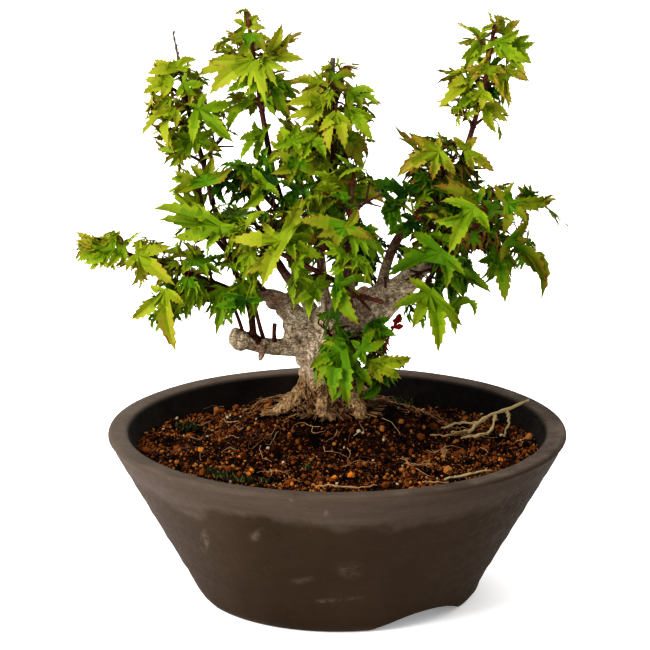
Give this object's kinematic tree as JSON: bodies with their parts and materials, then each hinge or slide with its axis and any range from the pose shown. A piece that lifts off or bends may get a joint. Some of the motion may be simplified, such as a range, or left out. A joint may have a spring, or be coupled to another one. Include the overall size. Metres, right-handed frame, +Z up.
{
  "type": "potted japanese maple",
  "caption": "Small bonsai Japanese maple with a leaning trunk and loose leafy masses, in a round conical clay pot on three low feet.",
  "frame": {"origin": "on the surface the pot stands on, under the middle of the whole plant's bounding box", "axes": "+Z up, the tree's front looks along -Y, its long low bough points to -X and its trunk leans to +X"},
  "size_m": [0.1604, 0.15, 0.1913],
  "materials": {
    "clay": "unglazed dark brown stoneware, matt with faint grey bloom",
    "soil": "loose baked clay granules, brown and orange",
    "bark": "matt grey-beige to brown bark",
    "leaf_green": "thin living leaves, soft sheen, bright green"
  },
  "bodies": {
    "root": {"bough_back": "bark", "bough_back_left": "bark", "bough_back_right": "bark", "bough_centre": "bark", "bough_front": "bark", "bough_left_high": "bark", "bough_left_low": "bark", "bough_left_tall": "bark", "bough_left_upright": "bark", "bough_right": "bark", "bough_right_inner": "bark", "foliage_back_high": "leaf_green", "foliage_back_left_high": "leaf_green", "foliage_back_left_low": "leaf_green", "foliage_back_low": "leaf_green", "foliage_back_right_high": "leaf_green", "foliage_back_right_low": "leaf_green", "foliage_centre_front": "leaf_green", "foliage_centre_left": "leaf_green", "foliage_centre_low": "leaf_green", "foliage_centre_top": "leaf_green", "foliage_first_top": "leaf_green", "foliage_front_low": "leaf_green", "foliage_inner_left": "leaf_green", "foliage_left_front": "leaf_green", "foliage_left_low": "leaf_green", "foliage_left_middle": "leaf_green", "foliage_left_tip": "leaf_green", "foliage_right_drop": "leaf_green", "foliage_right_inner": "leaf_green", "foliage_right_low": "leaf_green", "foliage_right_outer": "leaf_green", "foliage_right_shoulder": "leaf_green", "foliage_right_top": "leaf_green", "foliage_second_top": "leaf_green", "foliage_side_low": "leaf_green", "pot": "clay", "soil": "soil", "trunk": "bark"}
  },
  "joints": []
}
